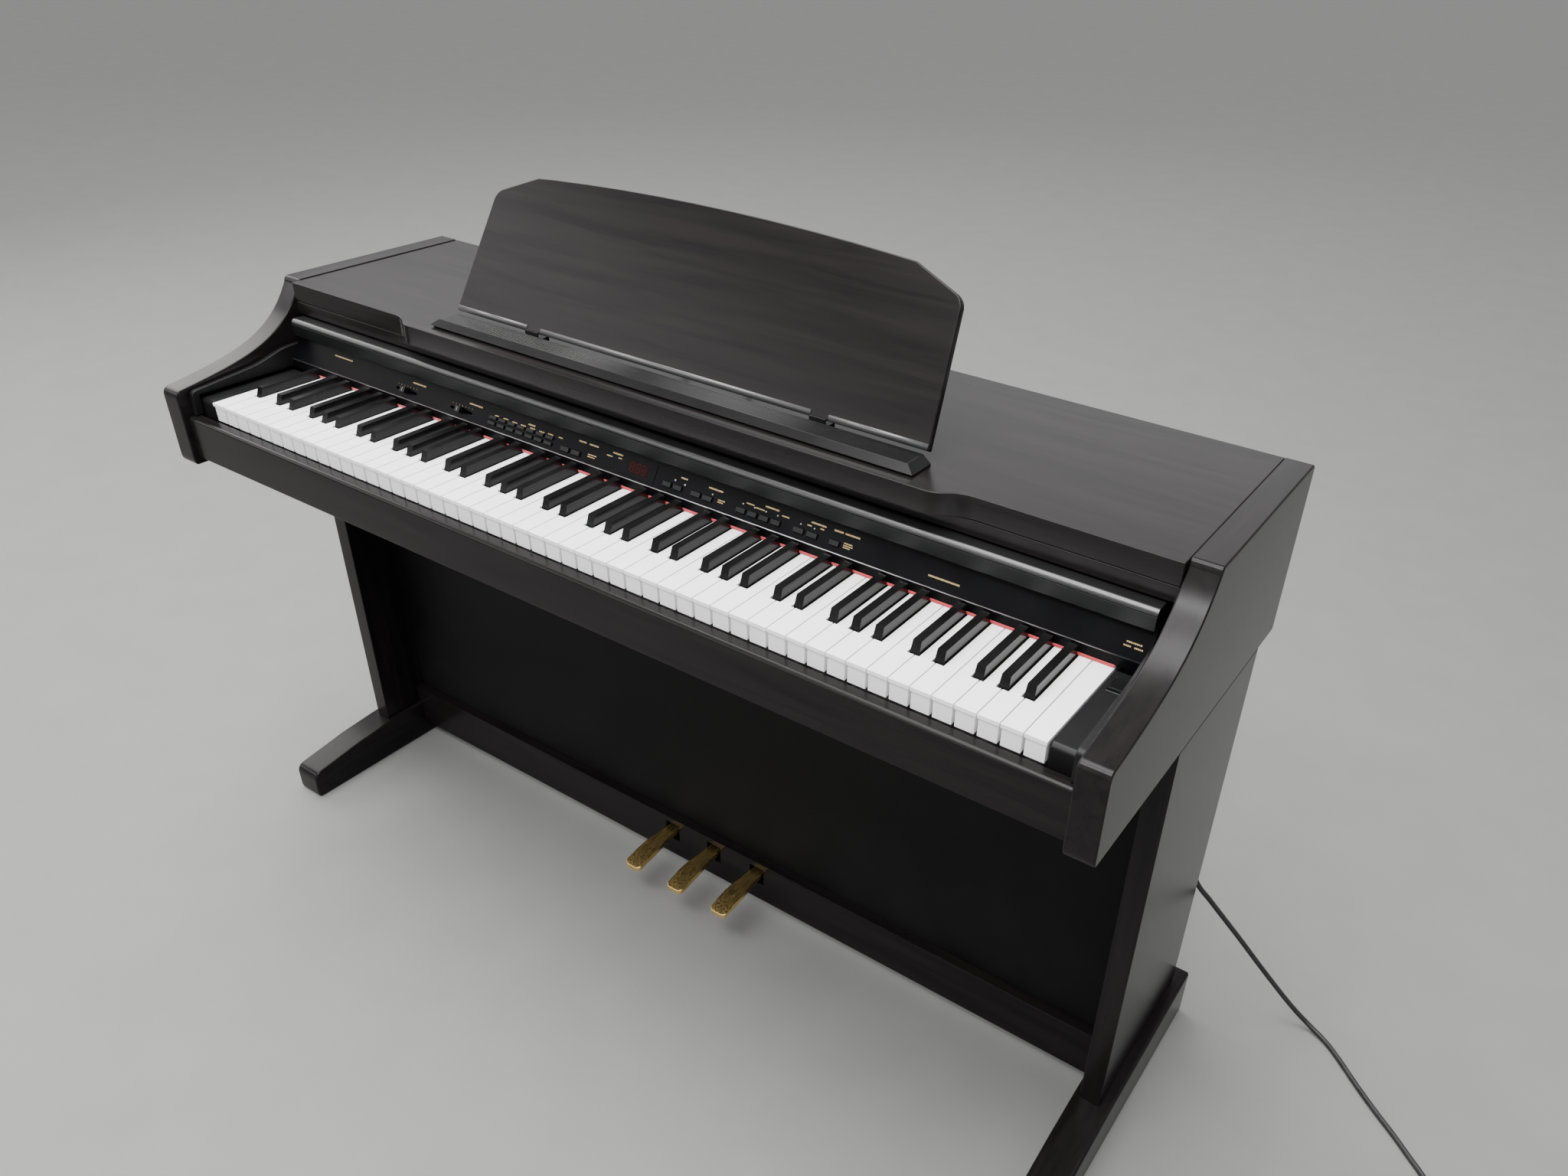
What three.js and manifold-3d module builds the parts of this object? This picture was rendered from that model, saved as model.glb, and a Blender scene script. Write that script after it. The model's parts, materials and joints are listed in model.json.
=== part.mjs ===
// A console digital piano on a panelled stand: cabinet, 88 keys, sliding key cover,
// control panel, folding music rest, three pedals and a mains cord.
// Millimetres. X runs to the treble end, Y to the back, Z up from the floor.

import * as THREE from "three";
import { mergeVertices } from "three/addons/utils/BufferGeometryUtils.js";
import { ConvexGeometry } from "three/addons/geometries/ConvexGeometry.js";
import Module from "manifold-3d";

const wasm = await Module();
wasm.setup();

// ---- Driving dimensions -------------------------------------------------------------

const GAP = 0.3; // between pieces that touch
const CABINET_HALF = 682; // half the width over the cheeks
const CHEEK = 32; // cheek thickness
const INNER = CABINET_HALF - CHEEK - GAP; // half the width between the cheeks
const FRONT = -243.5;
const REAR = 243.5;
const BASE = 617; // underside of the cabinet
const TOP = 823; // top of the cheeks
const TOP_PANEL = { low: 796, high: 821.5, wing: -46, middle: -64, back: 243 };
const BED = { low: 618, high: 636, front: -220.2, back: 228 };

const PITCH = 23.577; // white key to white key
const WHITE_COUNT = 52;
const MIDDLE_OCTAVE = 23; // white key number of the C that starts the middle octave
const KEY = { gap: 1, front: -218, back: 22, low: 684, top: 708.6, tailTop: 700, tailFrom: -72 };
const BLACK = { front: -169, back: -77.5, top: 720.6, width: 11, crown: 9.5, slope: 5.7 };
const BLACK_OFFSETS = [21.74, 48.97, 91.5, 117.9, 144.2]; // centres from the left edge of C

const PANEL = { y: -75, z: 722.5, lean: 57.5, length: 40.8, thick: 2.5, low: 711.6, half: 641 };
const FASCIA = { front: -46, back: -30, low: 778.5 };
const COVER = { front: -45.7, back: 140, low: 771, high: 776, half: 640 };
const HANDLE = { front: -66, low: 753.7, seam: 770.5, roll: 6.5 };
const CARRIAGE = { front: 142, back: 154, low: 766, high: 777.5 };
const REST = { y: -3, z: 834, lean: 29, thick: 9, half: 355, low: -1.5, height: 191 };
const LEDGE = { half: 361, topHalf: 351, front: -48, topFront: -41, back: -11, top: 832 };
const STAY = { along: 90, behind: 7.5, length: 100, angle: 33.82, half: 50, wire: 2.5 };
const LEG = { inner: 654.8, outer: 681.7, front: -43.4, back: 194.4 };
const FOOT = { inner: 647, outer: 696, front: -200, back: 221 };
const RAIL = { front: 22, back: 37, low: 27, high: 98 };
const PEDALS = { pedal_soft: -65, pedal_sostenuto: 16, pedal_damper: 98 };
const CORD = { diameter: 7, x: 630, y: 205 };

// ---- Materials ----------------------------------------------------------------------

function finish(color, roughness, metalness = 0) {
  return new THREE.MeshStandardMaterial({ color, roughness, metalness });
}

const laminate = finish(0x2b2522, 0.42);
const darkBoard = finish(0x131211, 0.6);
const glossBlack = finish(0x0b0b0c, 0.12);
const blackPlastic = finish(0x161617, 0.4);
const ivoryPlastic = finish(0xf1efe9, 0.25);
const ebonyPlastic = finish(0x0d0d0d, 0.2);
const redFelt = finish(0xb0202a, 0.95);
const brass = finish(0xb08a45, 0.28, 1);
const steel = finish(0x8d8f92, 0.35, 1);
const paperCone = finish(0x1b1b1c, 0.8);
const circuitGreen = finish(0x2c5a3a, 0.55);
const blackRubber = finish(0x121212, 0.6);

// ---- Geometry helpers ---------------------------------------------------------------

const root = new THREE.Group();

function place(name, geometry, material, parent = root) {
  const mesh = new THREE.Mesh(geometry, material);
  mesh.name = name;
  parent.add(mesh);
  return mesh;
}

function box(x0, x1, y0, y1, z0, z1) {
  const g = new THREE.BoxGeometry(x1 - x0, y1 - y0, z1 - z0);
  return g.translate((x0 + x1) / 2, (y0 + y1) / 2, (z0 + z1) / 2);
}

function outline(points) {
  return new THREE.Shape(points.map(([a, b]) => new THREE.Vector2(a, b)));
}

function extrude(shape, depth, curveSegments = 8) {
  return new THREE.ExtrudeGeometry(shape, { depth, bevelEnabled: false, curveSegments });
}

// A shape drawn in (y, z), extruded along X from x0 to x1.
function acrossX(shape, x0, x1, curveSegments) {
  const turn = new THREE.Matrix4().makeBasis(
    new THREE.Vector3(0, 1, 0),
    new THREE.Vector3(0, 0, 1),
    new THREE.Vector3(1, 0, 0),
  );
  return extrude(shape, x1 - x0, curveSegments).applyMatrix4(turn).translate(x0, 0, 0);
}

// A shape drawn in (x, z), extruded along Y from y0 to y1.
function acrossY(shape, y0, y1, curveSegments) {
  return extrude(shape, y1 - y0, curveSegments).rotateX(Math.PI / 2).translate(0, y1, 0);
}

// A shape drawn in (x, y), extruded along Z from z0 to z1.
function acrossZ(shape, z0, z1, curveSegments) {
  return extrude(shape, z1 - z0, curveSegments).translate(0, 0, z0);
}

// A profile of [radius, height] pairs, bottom first, turned about Z.
function turned(profile, segments = 32) {
  const points = profile.map(([r, h]) => new THREE.Vector2(r, h));
  return new THREE.LatheGeometry(points, segments).rotateX(Math.PI / 2);
}

function rod(radius, length, segments = 16) {
  return new THREE.CylinderGeometry(radius, radius, length, segments);
}

function toSolid(geometry) {
  const bare = geometry.index ? geometry.toNonIndexed() : geometry.clone();
  bare.deleteAttribute("normal");
  bare.deleteAttribute("uv");
  const merged = mergeVertices(bare, 1e-3);
  const mesh = new wasm.Mesh({
    numProp: 3,
    vertProperties: merged.attributes.position.array,
    triVerts: new Uint32Array(merged.index.array),
  });
  return new wasm.Manifold(mesh);
}

function toGeometry(solid) {
  const { vertProperties, triVerts } = solid.getMesh();
  const g = new THREE.BufferGeometry();
  g.setAttribute("position", new THREE.BufferAttribute(vertProperties, 3));
  g.setIndex(new THREE.BufferAttribute(triVerts, 1));
  g.computeVertexNormals();
  return g;
}

function join(...pieces) {
  return toGeometry(pieces.map(toSolid).reduce((all, next) => all.add(next)));
}

function cut(body, ...tools) {
  return toGeometry(tools.map(toSolid).reduce((left, tool) => left.subtract(tool), toSolid(body)));
}

function common(a, b) {
  return toGeometry(toSolid(a).intersect(toSolid(b)));
}

// ---- Cabinet ------------------------------------------------------------------------

// The side outline of a cheek: a low arm beside the keys that sweeps up to the top.
function cheekOutline() {
  const s = new THREE.Shape();
  s.moveTo(REAR, BASE);
  s.lineTo(FRONT + 4, BASE);
  s.quadraticCurveTo(FRONT, BASE + 2, FRONT, BASE + 11);
  s.lineTo(FRONT, 710);
  s.quadraticCurveTo(FRONT, 722, -232, 722.5);
  s.bezierCurveTo(-130, 738, -75, 752, -38, 815);
  s.quadraticCurveTo(-36, TOP, -31, TOP);
  s.lineTo(REAR - 3, TOP);
  s.lineTo(REAR, TOP - 3);
  return s;
}

function addCheeks() {
  const side = cheekOutline();
  place("left_cheek", acrossX(side, -CABINET_HALF, CHEEK - CABINET_HALF, 14), laminate);
  place("right_cheek", acrossX(side, CABINET_HALF - CHEEK, CABINET_HALF, 14), laminate);
}

// The front edge steps forward in the middle with an S-curve at each side.
function addTopPanel() {
  const { low, high, wing, middle, back } = TOP_PANEL;
  const stepIn = 383;
  const stepOut = 432;
  const half = (stepIn + stepOut) / 2;
  const s = new THREE.Shape();
  s.moveTo(-INNER, back);
  s.lineTo(-INNER, wing);
  s.lineTo(-stepOut, wing);
  s.bezierCurveTo(-half, wing, -half, middle, -stepIn, middle);
  s.lineTo(stepIn, middle);
  s.bezierCurveTo(half, middle, half, wing, stepOut, wing);
  s.lineTo(INNER, wing);
  s.lineTo(INNER, back);
  place("top_panel", acrossZ(s, low, high, 10), laminate);
}

function addFascia() {
  const { front, back, low } = FASCIA;
  const high = TOP_PANEL.low - GAP;
  place("front_fascia", box(-INNER, INNER, front, back, low, high), laminate);
}

function addKeySlip() {
  const s = outline([[-236, 627], [-220.5, 627], [-220.5, 685], [-233, 685], [-236, 682]]);
  place("key_slip", acrossX(s, -INNER, INNER), laminate);
}

const SPEAKER = { x: 480, y: 140, hole: 60 };

function addKeybed() {
  const { low, high, front, back } = BED;
  const holes = [-SPEAKER.x, SPEAKER.x].map((x) => {
    const hole = rod(SPEAKER.hole, 40, 40).rotateX(Math.PI / 2);
    return hole.translate(x, SPEAKER.y, (low + high) / 2);
  });
  const glandHole = rod(7, 40, 20).rotateX(Math.PI / 2).translate(CORD.x, CORD.y, low);
  place("keybed", cut(box(-INNER, INNER, front, back, low, high), ...holes, glandHole), darkBoard);
}

function addRearPanel() {
  const high = TOP_PANEL.low - GAP;
  place("rear_panel", box(-INNER, INNER, BED.back + GAP, 243, BASE, high), darkBoard);
}

const POWER = { x: 628, y: -99, width: 15, depth: 22 };

// The blocks at both ends of the keys, the right one with a pocket for the power switch.
function addKeyBlocks() {
  const low = BED.high + GAP;
  const high = 707;
  const s = outline([[-215, low], [-75, low], [-75, high], [-211, high], [-215, high - 4]]);
  place("key_block_left", acrossX(s, -649.5, -613.5), blackPlastic);
  const pocket = box(
    POWER.x - POWER.width / 2 - 0.5,
    POWER.x + POWER.width / 2 + 0.5,
    POWER.y - POWER.depth / 2 - 0.5,
    POWER.y + POWER.depth / 2 + 0.5,
    high - 12,
    high + 5,
  );
  place("key_block_right", cut(acrossX(s, 613.5, 649.5), pocket), blackPlastic);
}

// ---- Control panel and its controls -------------------------------------------------

const LEAN = THREE.MathUtils.degToRad(PANEL.lean);

// Moves a piece drawn on the flat (x, up the slope, out of the slope) onto the panel.
function onPanel(geometry) {
  return geometry.rotateX(LEAN).translate(0, PANEL.y, PANEL.z);
}

const BUTTON_TOP = 2.2; // how far a button stands out of the panel
const SLOT = 0.5; // clearance around a button

// Each button as [x, distance up the slope, width, height].
function row(from, to, count, v, width, height) {
  const step = count > 1 ? (to - from) / (count - 1) : 0;
  return Array.from({ length: count }, (_, i) => [from + i * step, v, width, height]);
}

const BUTTONS = {
  sound_buttons: [...row(-240, -141, 7, 15.7, 12, 4), ...row(-240, -141, 7, 8.4, 12, 4)],
  sequencer_buttons: [
    ...row(-112, -94, 2, 8.5, 13, 5.5),
    ...row(50, 66, 2, 10, 12, 5.5),
    ...row(93, 110, 2, 10, 13, 5.5),
  ],
  effect_buttons: [
    ...row(158, 206, 4, 10, 12, 5.5),
    ...row(237, 255, 2, 10.5, 13, 5.5),
    ...row(284, 284, 1, 10.5, 12, 5.5),
  ],
};
const SLIDERS = { volume_slider: -404, brilliance_slider: -298 };
const SLIDER = { travel: 17, height: 8, up: 11 };

function buttonBox([x, v, w, h], grow, low, high) {
  const y0 = v - h / 2 - grow;
  const y1 = v + h / 2 + grow;
  return onPanel(box(x - w / 2 - grow, x + w / 2 + grow, y0, y1, low, high));
}

// A strip of button caps joined by one bar behind the panel.
function addButtonStrip(name, buttons) {
  const behind = -PANEL.thick - 2;
  const caps = buttons.map((b) => buttonBox(b, 0, behind - 1, BUTTON_TOP));
  const left = Math.min(...buttons.map(([x, , w]) => x - w / 2));
  const right = Math.max(...buttons.map(([x, , w]) => x + w / 2));
  const low = Math.min(...buttons.map(([, v]) => v)) - 3;
  const high = Math.max(...buttons.map(([, v]) => v)) + 3;
  const bar = onPanel(box(left, right, low, high, behind - 2, behind));
  place(name, join(bar, ...caps), blackPlastic);
}

function addSlider(name, x) {
  const cap = onPanel(box(x - 4.5, x + 4.5, SLIDER.up - 4, SLIDER.up + 4, 0.6, SLIDER.height));
  const stem = onPanel(box(x - 2, x + 2, SLIDER.up - 1, SLIDER.up + 1, -6, 1));
  place(name, join(cap, stem), blackPlastic);
}

// The vertical strip over the keys, the sloped face and the flange behind its top edge.
function addControlPanel() {
  const { y, z, thick, low, half, length } = PANEL;
  const topY = y + length * Math.cos(LEAN);
  const topZ = z + length * Math.sin(LEAN);
  const back = -40;
  const s = outline([
    [y, low],
    [y, z],
    [topY, topZ],
    [back, topZ],
    [back, topZ - thick],
    [topY + thick * 0.8, topZ - thick],
    [y + thick, z - thick * 0.3],
    [y + thick, low],
  ]);
  const holes = Object.values(BUTTONS).flat().map((b) => buttonBox(b, SLOT, -8, 4));
  const slots = Object.values(SLIDERS).map((x) => {
    const reach = SLIDER.travel + 3;
    return onPanel(box(x - reach, x + reach, SLIDER.up - 1.6, SLIDER.up + 1.6, -8, 4));
  });
  place("control_panel", cut(acrossX(s, -half, half), ...holes, ...slots), glossBlack);
  place("key_felt", box(-612, 612, y - 2, y + 2, KEY.top + GAP, low - GAP), redFelt);
}

function addPowerButton() {
  const { x, y, width, depth } = POWER;
  const s = outline([
    [y - depth / 2, 697],
    [y + depth / 2, 697],
    [y + depth / 2, 708.6],
    [y, 708],
    [y - depth / 2, 710.4],
  ]);
  place("power_button", acrossX(s, x - width / 2, x + width / 2), blackPlastic);
}

// ---- Key cover ----------------------------------------------------------------------

// The sliding board, the rolled handle on its front edge and the bar it hinges on.
function addKeyCover() {
  const { half } = COVER;
  place("key_cover", box(-half, half, COVER.front, COVER.back, COVER.low, COVER.high), laminate);
  const { front, low, seam, roll } = HANDLE;
  const s = new THREE.Shape();
  s.moveTo(front + 4, low);
  s.lineTo(front + 1, low);
  s.lineTo(front, low + 1);
  s.lineTo(front, seam);
  s.absarc(front + roll, seam, roll, Math.PI, Math.PI / 2, true);
  s.lineTo(COVER.front - GAP, seam + roll);
  s.lineTo(COVER.front - GAP, seam - 2.5);
  s.lineTo(front + 8, seam - 6.5);
  s.lineTo(front + 4, seam - 10.5);
  place("key_cover_handle", acrossX(s, -half, half, 10), glossBlack);
  const bar = box(-half, half, CARRIAGE.front, CARRIAGE.back, CARRIAGE.low, CARRIAGE.high);
  place("cover_carriage", bar, darkBoard);
}

// The moulded liner on each cheek that the cover's edges run over, with a leg in front.
function addCoverTracks() {
  const s = new THREE.Shape();
  s.moveTo(224, 712);
  s.lineTo(-216.5, 712);
  s.lineTo(-216.5, 686);
  s.lineTo(-228.5, 686);
  s.lineTo(-226.5, 713);
  s.quadraticCurveTo(-226, 719, -218, 719.5);
  s.lineTo(-140, 727);
  s.bezierCurveTo(-110, 730, -98, 740, -75, 741);
  s.lineTo(-40, 742);
  s.lineTo(0, 764);
  s.lineTo(224, 764);
  place("cover_track_left", acrossX(s, -649.7, -641.7, 12), blackPlastic);
  place("cover_track_right", acrossX(s, 641.7, 649.7, 12), blackPlastic);
}

// ---- Keyboard -----------------------------------------------------------------------

function octaveEdge(octaveStart) {
  return (octaveStart - WHITE_COUNT / 2) * PITCH;
}

// The first white key is the A below the first C, which is white key 2.
function blackCentresAround(first, last) {
  const centres = [];
  for (let start = -5; start < WHITE_COUNT; start += 7) {
    for (const offset of BLACK_OFFSETS) centres.push(octaveEdge(start) + offset);
  }
  const low = octaveEdge(first);
  const high = octaveEdge(last + 1);
  return centres.filter((x) => x > low - 8 && x < high + 8 && Math.abs(x) < 600);
}

// A white key from above: a full-width head, narrowed beside its black neighbours.
function whitePlan(index) {
  const left = octaveEdge(index) + KEY.gap / 2;
  const right = left + PITCH - KEY.gap;
  const room = BLACK.width / 2 + KEY.gap;
  const notch = BLACK.front - KEY.gap;
  const near = blackCentresAround(index, index);
  const leftBlack = near.find((x) => x < (left + right) / 2);
  const rightBlack = near.find((x) => x > (left + right) / 2);
  const tailLeft = leftBlack === undefined ? left : Math.max(left, leftBlack + room);
  const tailRight = rightBlack === undefined ? right : Math.min(right, rightBlack - room);
  const corners = [[left, KEY.front], [right, KEY.front]];
  if (tailRight < right) corners.push([right, notch], [tailRight, notch]);
  corners.push([tailRight, KEY.back], [tailLeft, KEY.back]);
  if (tailLeft > left) corners.push([tailLeft, notch], [left, notch]);
  return outline(corners);
}

function whiteKeys(first, last) {
  const { front, back, low, top, tailTop, tailFrom } = KEY;
  const side = outline([
    [front, low],
    [back, low],
    [back, tailTop],
    [tailFrom, tailTop],
    [tailFrom, top],
    [front, top],
  ]);
  const keys = [];
  for (let i = first; i <= last; i += 1) keys.push(acrossZ(whitePlan(i), low, top));
  const x0 = octaveEdge(first) - 1;
  const x1 = octaveEdge(last + 1) + 1;
  const shaped = common(join(...keys), acrossX(side, x0, x1));
  if (first === last) return shaped;
  return join(shaped, box(x0 + 2, x1 - 2, 2, 20, low, low + 4));
}

function blackKey(x) {
  const { front, back, top, width, crown, slope } = BLACK;
  const corners = [];
  for (const side of [-1, 1]) {
    for (const [y, z, w] of [
      [front, 704, width],
      [front, KEY.top, width],
      [back, 704, width],
      [back, KEY.top, width],
      [front + slope, top, crown],
      [back, top, crown],
    ]) {
      corners.push(new THREE.Vector3(x + (side * w) / 2, y, z));
    }
  }
  const lever = box(x - width / 2, x + width / 2, front + 1, KEY.back, 690, 706);
  return join(new ConvexGeometry(corners), lever);
}

function blackKeys(centres) {
  const keys = centres.map(blackKey);
  if (keys.length === 1) return keys[0];
  const x0 = Math.min(...centres);
  const x1 = Math.max(...centres);
  return join(...keys, box(x0, x1, -12, -2, 702.6, 706));
}

function addKeys() {
  const whiteNames = ["c4", "d4", "e4", "f4", "g4", "a4", "b4"];
  const blackNames = ["c_sharp4", "d_sharp4", "f_sharp4", "g_sharp4", "a_sharp4"];
  whiteNames.forEach((name, i) => {
    const index = MIDDLE_OCTAVE + i;
    place("key_" + name, whiteKeys(index, index), ivoryPlastic);
  });
  blackNames.forEach((name, i) => {
    const x = octaveEdge(MIDDLE_OCTAVE) + BLACK_OFFSETS[i];
    place("key_" + name, blackKeys([x]), ebonyPlastic);
  });
  const all = blackCentresAround(0, WHITE_COUNT - 1);
  const low = octaveEdge(MIDDLE_OCTAVE);
  const high = octaveEdge(MIDDLE_OCTAVE + 7);
  place("white_keys_bass", whiteKeys(0, MIDDLE_OCTAVE - 1), ivoryPlastic);
  place("black_keys_bass", blackKeys(all.filter((x) => x < low)), ebonyPlastic);
  place("white_keys_treble", whiteKeys(MIDDLE_OCTAVE + 7, WHITE_COUNT - 1), ivoryPlastic);
  place("black_keys_treble", blackKeys(all.filter((x) => x > high)), ebonyPlastic);
}

// The folded frame that carries the keys: a plate, a front stop rail and a rear hinge rail.
function addKeyFrame() {
  const low = BED.high + GAP;
  const s = outline([
    [-205, low],
    [45, low],
    [45, 682.5],
    [6, 682.5],
    [6, low + 10],
    [-195, low + 10],
    [-195, 668],
    [-205, 668],
  ]);
  place("key_frame", acrossX(s, -612, 612), steel);
}

// ---- Inside the cabinet -------------------------------------------------------------

function addSpeakers() {
  const seat = BED.high + GAP;
  const profile = [
    [0, seat + 14],
    [14, seat + 11],
    [54, seat],
    [78, seat],
    [78, seat + 4],
    [64, seat + 5],
    [42, seat + 30],
    [42, seat + 54],
    [0, seat + 54],
  ];
  const names = { speaker_left: -SPEAKER.x, speaker_right: SPEAKER.x };
  for (const [name, x] of Object.entries(names)) {
    place(name, turned(profile, 36).translate(x, SPEAKER.y, 0), paperCone);
  }
}

// A board on four stand-offs with its largest parts.
function addCircuitBoard() {
  const low = BED.high + GAP;
  const plate = box(-150, 150, 110, 210, low + 9, low + 11);
  const feet = [[-140, 118], [140, 118], [-140, 202], [140, 202]].map(([x, y]) =>
    rod(4, 9.5, 12).rotateX(Math.PI / 2).translate(x, y, low + 4.75),
  );
  const parts = [
    box(-120, -70, 140, 185, low + 10, low + 38),
    box(-40, 10, 135, 175, low + 10, low + 15),
    box(60, 100, 150, 190, low + 10, low + 26),
  ];
  place("main_circuit_board", join(plate, ...feet, ...parts), circuitGreen);
}

// ---- Music rest ---------------------------------------------------------------------

// A frame at the rest's hinge line, leaning back: x across, y up the board, z to its front.
const restFrame = new THREE.Group();
restFrame.position.set(0, REST.y, REST.z);
restFrame.rotation.x = Math.PI / 2 - THREE.MathUtils.degToRad(REST.lean);
root.add(restFrame);

// The board's outline rises in a shallow arch between two rounded shoulders.
function addRestBoard() {
  const { half, low, height, thick } = REST;
  const s = new THREE.Shape();
  s.moveTo(-half, low);
  s.lineTo(half, low);
  s.lineTo(half - 14, height - 46);
  s.quadraticCurveTo(half - 16, height - 36, half - 26, height - 32);
  s.lineTo(275, height - 10);
  s.quadraticCurveTo(140, height, 0, height);
  s.quadraticCurveTo(-140, height, -275, height - 10);
  s.lineTo(26 - half, height - 32);
  s.quadraticCurveTo(16 - half, height - 36, 14 - half, height - 46);
  place("music_rest_board", acrossZ(s, -thick / 2, thick / 2, 10), laminate, restFrame);
}

// The ledge that the sheets stand on: undercut in front, with sloped ends.
function addRestLedge() {
  const { half, topHalf, front, topFront, back, top } = LEDGE;
  const low = TOP_PANEL.high + GAP;
  const lip = low + 2.4; // height of the front edge over the top panel
  const side = outline([
    [front + 5, low],
    [front + 5, lip - 0.4],
    [front, lip],
    [topFront, top],
    [back, top],
    [back, low],
  ]);
  const face = outline([
    [-half, low],
    [half, low],
    [half, lip],
    [topHalf, top],
    [-topHalf, top],
    [-half, lip],
  ]);
  const ledge = common(acrossX(side, -half, half), acrossY(face, front - 1, back + 1));
  place("music_rest_ledge", ledge, blackPlastic);
}

function addRestHinges() {
  const low = TOP_PANEL.high + GAP;
  const lip = LEDGE.back + GAP;
  const seat = 828.2;
  const s = outline([[lip, low], [8, low], [8, seat], [-8.8, seat], [-8.8, 837], [lip, 837]]);
  place("music_rest_hinge_left", acrossX(s, -228, -206), blackPlastic);
  place("music_rest_hinge_right", acrossX(s, 206, 228), blackPlastic);
}

// A bent wire that props the board: two arms from a pivot, joined by the foot.
function addRestStay() {
  const { along, behind, length, angle, half, wire } = STAY;
  const lean = THREE.MathUtils.degToRad(REST.lean);
  const swing = THREE.MathUtils.degToRad(angle);
  const y = REST.y + along * Math.sin(lean) + behind * Math.cos(lean);
  const z = REST.z + along * Math.cos(lean) - behind * Math.sin(lean);
  const footY = y + length * Math.sin(swing);
  const footZ = z - length * Math.cos(swing);
  const corners = [
    [-half - 14, y, z],
    [-half, y, z],
    [-half, footY, footZ],
    [half, footY, footZ],
    [half, y, z],
    [half + 14, y, z],
  ].map(([a, b, c]) => new THREE.Vector3(a, b, c));
  const round = 6;
  const path = new THREE.CurvePath();
  let from = corners[0];
  for (let i = 1; i < corners.length - 1; i += 1) {
    const back = corners[i - 1].clone().sub(corners[i]).setLength(round).add(corners[i]);
    const on = corners[i + 1].clone().sub(corners[i]).setLength(round).add(corners[i]);
    path.add(new THREE.LineCurve3(from, back));
    path.add(new THREE.QuadraticBezierCurve3(back, corners[i], on));
    from = on;
  }
  path.add(new THREE.LineCurve3(from, corners[corners.length - 1]));
  const section = new THREE.Shape().absarc(0, 0, wire, 0, 2 * Math.PI);
  const wireGeometry = new THREE.ExtrudeGeometry(section, {
    steps: 110,
    extrudePath: path,
    curveSegments: 5,
  });
  const pad = rod(4, 60, 12).rotateZ(Math.PI / 2).translate(0, footY, footZ);
  place("music_rest_stay", join(wireGeometry, pad), steel);
}

// ---- Stand --------------------------------------------------------------------------

// The height of a foot's top, which rises from the toe to the heel.
const FOOT_TOP = [[-172, 50], [-110, 60], [-43.4, 66], [194.4, 74], [221, 75]];

function footOutline() {
  const s = new THREE.Shape();
  s.moveTo(FOOT.back, 0);
  s.lineTo(FOOT.front + 6, 0);
  s.quadraticCurveTo(FOOT.front, 0, FOOT.front, 8);
  s.lineTo(FOOT.front, 32);
  s.quadraticCurveTo(FOOT.front, 46, FOOT.front + 14, 48);
  for (const [y, z] of FOOT_TOP) s.lineTo(y, z);
  return s;
}

function addStandSide(name, side) {
  const [x0, x1] = side < 0 ? [-LEG.outer, -LEG.inner] : [LEG.inner, LEG.outer];
  const leg = outline([
    [LEG.front, 66 + GAP],
    [LEG.back, 74 + GAP],
    [LEG.back, BASE - GAP],
    [LEG.front, BASE - GAP],
  ]);
  place(name + "_leg", acrossX(leg, x0, x1), laminate);
  const [f0, f1] = side < 0 ? [-FOOT.outer, -FOOT.inner] : [FOOT.inner, FOOT.outer];
  place(name + "_foot", acrossX(footOutline(), f0, f1, 6), laminate);
}

// A board between the legs, narrower beside the feet.
function betweenLegs(y0, y1, low, high) {
  const wide = LEG.inner - GAP;
  const narrow = FOOT.inner - GAP;
  const shoulder = 71;
  const s = outline([
    [-narrow, low],
    [narrow, low],
    [narrow, shoulder],
    [wide, shoulder],
    [wide, high],
    [-wide, high],
    [-wide, shoulder],
    [-narrow, shoulder],
  ]);
  return acrossY(s, y0, y1);
}

const PEDAL = { pivotY: 29.5, pivotZ: 76, tip: -71, width: 28, corner: 7, slotHalf: 13 };

function addStandPanels() {
  const slots = Object.values(PEDALS).map((x) =>
    box(x - PEDAL.slotHalf, x + PEDAL.slotHalf, RAIL.front - 5, RAIL.back + 5, 58, 89),
  );
  place("pedal_rail", cut(betweenLegs(RAIL.front, RAIL.back, RAIL.low, RAIL.high), ...slots), laminate);
  const back = betweenLegs(RAIL.back + GAP, 49, RAIL.low, BASE - GAP);
  place("stand_back_panel", back, darkBoard);
}

// A pedal: a round-cornered paddle from above, arched from the side, on a narrow shank.
function pedalGeometry(x) {
  const { tip, width, corner, pivotY, pivotZ } = PEDAL;
  const shank = 10;
  const plan = new THREE.Shape();
  plan.moveTo(x + shank, pivotY + 6);
  plan.lineTo(x - shank, pivotY + 6);
  plan.lineTo(x - shank, 8);
  plan.bezierCurveTo(x - shank, -12, x - width / 2, -16, x - width / 2, -36);
  plan.lineTo(x - width / 2, tip + corner);
  plan.absarc(x - width / 2 + corner, tip + corner, corner, Math.PI, 1.5 * Math.PI, false);
  plan.absarc(x + width / 2 - corner, tip + corner, corner, 1.5 * Math.PI, 2 * Math.PI, false);
  plan.lineTo(x + width / 2, -36);
  plan.bezierCurveTo(x + width / 2, -16, x + shank, -12, x + shank, 8);
  const side = new THREE.Shape();
  side.moveTo(pivotY + 7, pivotZ - 4);
  side.lineTo(pivotY + 7, pivotZ + 4);
  side.lineTo(0, pivotZ + 5);
  side.quadraticCurveTo(-40, pivotZ + 6, tip - 2, pivotZ - 4);
  side.lineTo(tip - 2, pivotZ - 11);
  side.quadraticCurveTo(-40, pivotZ - 3, 0, pivotZ - 3);
  return common(acrossZ(plan, 40, 110, 10), acrossX(side, x - 20, x + 20, 10));
}

function addPedals() {
  for (const [name, x] of Object.entries(PEDALS)) place(name, pedalGeometry(x), brass);
}

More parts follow.
